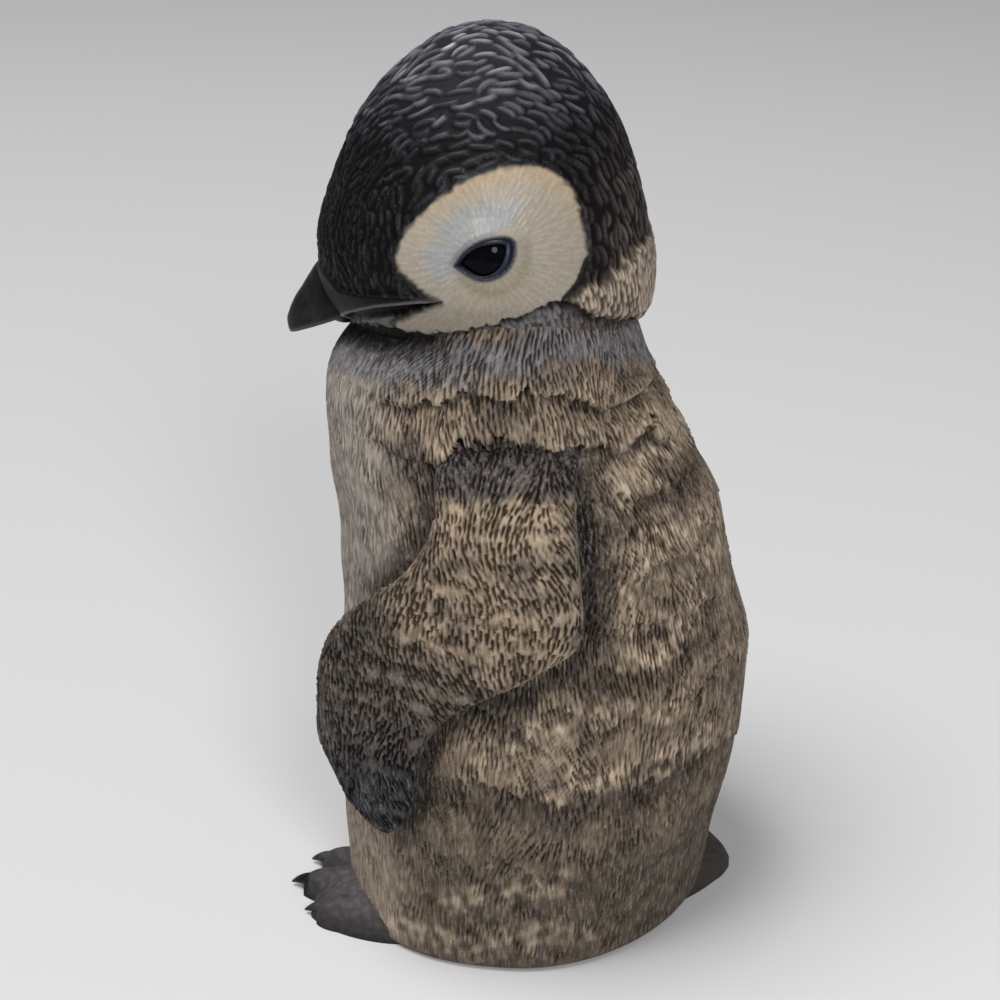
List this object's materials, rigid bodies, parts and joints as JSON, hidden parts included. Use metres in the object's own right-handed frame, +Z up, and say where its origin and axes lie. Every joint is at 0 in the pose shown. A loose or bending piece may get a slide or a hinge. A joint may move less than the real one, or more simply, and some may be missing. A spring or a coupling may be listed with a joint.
{
  "type": "penguin chick figurine",
  "caption": "Standing penguin chick with a downy egg-shaped torso, domed hooded head, elbowed flippers turned forward, webbed feet and a short tail",
  "frame": {"origin": "on the surface it stands on, under the middle of the base", "axes": "+Z up, -Y the way the bird faces, +X its left side"},
  "size_m": [0.0718, 0.0733, 0.1391],
  "materials": {
    "down_paint": "hand-painted cast resin, grey-brown down over a dark wash, dry-brushed tan",
    "head_paint": "hand-painted cast resin, satin charcoal hood round a cream mask",
    "bill_gloss": "satin black paint with a pale grey edge along the gape",
    "eye_glass": "opaque glossy black glass with a slate-blue rim",
    "flipper_paint": "hand-painted cast resin, tan ridges over dark grooves, slate towards the tip",
    "foot_paint": "dark grey-brown paint over scaled resin",
    "tail_paint": "dark brown paint over grooved resin",
    "felt": "black pressed felt"
  },
  "bodies": {
    "root": {"body": "down_paint", "head": "head_paint", "upper_bill": "bill_gloss", "lower_bill": "bill_gloss", "left_eye": "eye_glass", "right_eye": "eye_glass", "left_flipper": "flipper_paint", "right_flipper": "flipper_paint", "left_foot": "foot_paint", "right_foot": "foot_paint", "tail": "tail_paint", "felt_pad": "felt"}
  },
  "joints": []
}
